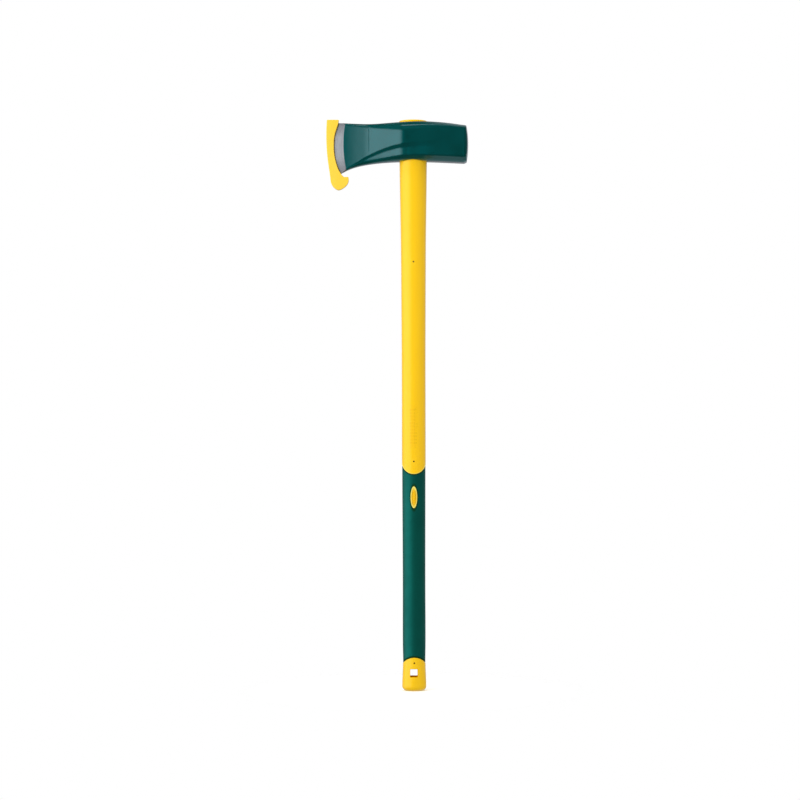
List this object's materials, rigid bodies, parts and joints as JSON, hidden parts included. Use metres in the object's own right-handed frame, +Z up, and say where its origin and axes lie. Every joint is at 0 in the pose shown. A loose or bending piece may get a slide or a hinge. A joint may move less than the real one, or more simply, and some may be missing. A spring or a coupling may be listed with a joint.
{
  "type": "splitting maul",
  "caption": "Splitting maul: wedge-shaped painted steel head with a hammer poll, on a long straight oval handle with a soft lower grip, and a pull-off edge guard with a finger hook.",
  "frame": {"origin": "centre of the flat butt of the handle", "axes": "+Z up the handle to the head, -X towards the cutting edge, +X towards the striking face, Y across the head's thickness"},
  "size_m": [0.2238, 0.0554, 0.9],
  "materials": {
    "head_paint": "glossy dark green stoving paint; the bit in front of the paint line is bare ground steel",
    "glass_fibre": "straw-coloured pultruded glass-fibre rod with fine lengthwise strands",
    "handle_plastic": "satin golden yellow moulded plastic",
    "grip_rubber": "matt dark green soft thermoplastic rubber with a fine grain",
    "resin": "dull amber-brown cast resin",
    "guard_plastic": "satin yellow moulded plastic, a little paler than the handle"
  },
  "bodies": {
    "maul": {"maul_head": "head_paint", "handle_core": "glass_fibre", "handle_shell": "handle_plastic", "grip_sleeve": "grip_rubber", "eye_bond": "resin"},
    "guard": {"edge_guard": "guard_plastic"}
  },
  "joints": [
    {"name": "guard_slide", "type": "slide", "parent": "maul", "child": "guard", "axis": [-1, 0, 0], "range_m": [0, 0.06]}
  ]
}
